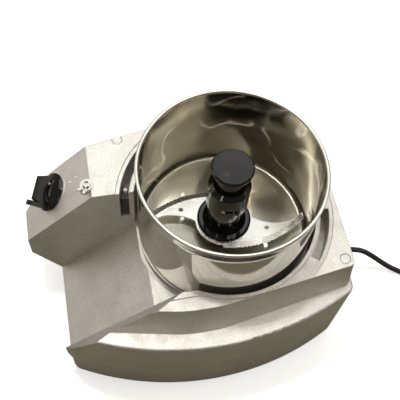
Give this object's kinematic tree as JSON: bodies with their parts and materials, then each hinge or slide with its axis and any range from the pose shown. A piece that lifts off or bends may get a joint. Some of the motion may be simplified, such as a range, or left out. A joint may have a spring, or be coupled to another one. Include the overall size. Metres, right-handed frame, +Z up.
{
  "type": "bowl cutter",
  "caption": "Table-top bowl cutter: cast base with control tower and front chute, open steel bowl, serrated S-knife on a locking hub, rotary switch, power cord.",
  "frame": {"origin": "the middle of the base's footprint, on the table that the four feet stand on; the drive axis stands 45.5 mm behind it", "axes": "+Z up, parallel to the drive axis, -Y towards the user's side with the switch panel and the chute, +X to the machine's right"},
  "size_m": [0.285, 0.598, 0.279],
  "materials": {
    "cast_aluminium": "satin, fine shot-blasted casting",
    "polished_steel": "mirror outside, turned satin inside",
    "blade_steel": "ground and polished",
    "zinc_steel": "zinc plated",
    "stainless_hardware": "fine turned",
    "machined_steel": "machined",
    "motor_aluminium": "as cast",
    "motor_iron": "varnished laminations",
    "copper": "enamelled copper",
    "black_gloss_plastic": "gloss moulded",
    "black_matte_plastic": "fine matt",
    "pale_ring": "satin",
    "switch_metal": "turned",
    "plunger_plastic": "natural acetal",
    "rubber": "matt rubber",
    "board": "lacquered board",
    "capacitor_can": "smooth",
    "cord_sheath": "semi-matt sheath",
    "plug_brass": "nickel plated"
  },
  "bodies": {
    "base": {"base_casting": "cast_aluminium", "bearing_lower": "machined_steel", "bearing_upper": "machined_steel", "bottom_plate": "zinc_steel", "control_board": "board", "cord_gland": "rubber", "deck_plug_left": "stainless_hardware", "deck_plug_right": "stainless_hardware", "foot_back_left": "rubber", "foot_back_right": "rubber", "foot_front_left": "rubber", "foot_front_right": "rubber", "foot_screws": "zinc_steel", "lid_switch": "black_matte_plastic", "motor_bolts": "zinc_steel", "motor_lower_shield": "motor_aluminium", "motor_stator": "motor_iron", "motor_upper_shield": "motor_aluminium", "motor_windings": "copper", "plate_screws": "zinc_steel", "plug_body": "cord_sheath", "plug_pins": "plug_brass", "post_clip": "stainless_hardware", "post_screw": "stainless_hardware", "power_cord": "cord_sheath", "power_cord_coil": "cord_sheath", "shaft_seal": "rubber", "start_capacitor": "capacitor_can", "switch_body": "black_matte_plastic", "switch_ring": "pale_ring", "terminal_block": "black_matte_plastic"},
    "drive": {"drive_shaft": "machined_steel", "motor_rotor": "machined_steel", "cooling_fan": "black_matte_plastic"},
    "bowl": {"bowl": "polished_steel", "bowl_foot_ring": "black_matte_plastic"},
    "knife": {"knife_blade": "blade_steel", "knife_hub": "black_gloss_plastic", "knife_lock_pins": "stainless_hardware", "knife_nut": "black_gloss_plastic"},
    "cap": {"hub_cap": "black_gloss_plastic"},
    "knob": {"switch_knob": "black_gloss_plastic", "switch_spindle": "switch_metal"},
    "plunger": {"lid_switch_plunger": "plunger_plastic"}
  },
  "joints": [
    {"name": "shaft_spin", "type": "hinge", "parent": "base", "child": "drive", "pos_m": [0, 0.0455, 0.1], "axis": [0, 0, -1], "continuous": true},
    {"name": "bowl_lift", "type": "slide", "parent": "base", "child": "bowl", "axis": [0, 0, 1], "range_m": [0, 0.15]},
    {"name": "knife_spin", "type": "hinge", "parent": "bowl", "child": "knife", "pos_m": [0, 0.0455, 0.17], "axis": [0, 0, -1], "continuous": true},
    {"name": "cap_turn", "type": "hinge", "parent": "knife", "child": "cap", "pos_m": [0, 0.0455, 0.22], "axis": [0, 0, 1], "range_deg": [-35, 0]},
    {"name": "switch_turn", "type": "hinge", "parent": "base", "child": "knob", "pos_m": [-0.0656, -0.14689, 0.16461], "axis": [0, -0.7071, 0.7071], "range_deg": [0, 90]},
    {"name": "plunger_press", "type": "slide", "parent": "base", "child": "plunger", "axis": [0, 0, -1], "range_m": [0, 0.003], "stiffness_N_per_m": 400}
  ],
  "couplings": [
    {"joint": "knife_spin", "follows": "shaft_spin", "ratio": 1}
  ]
}
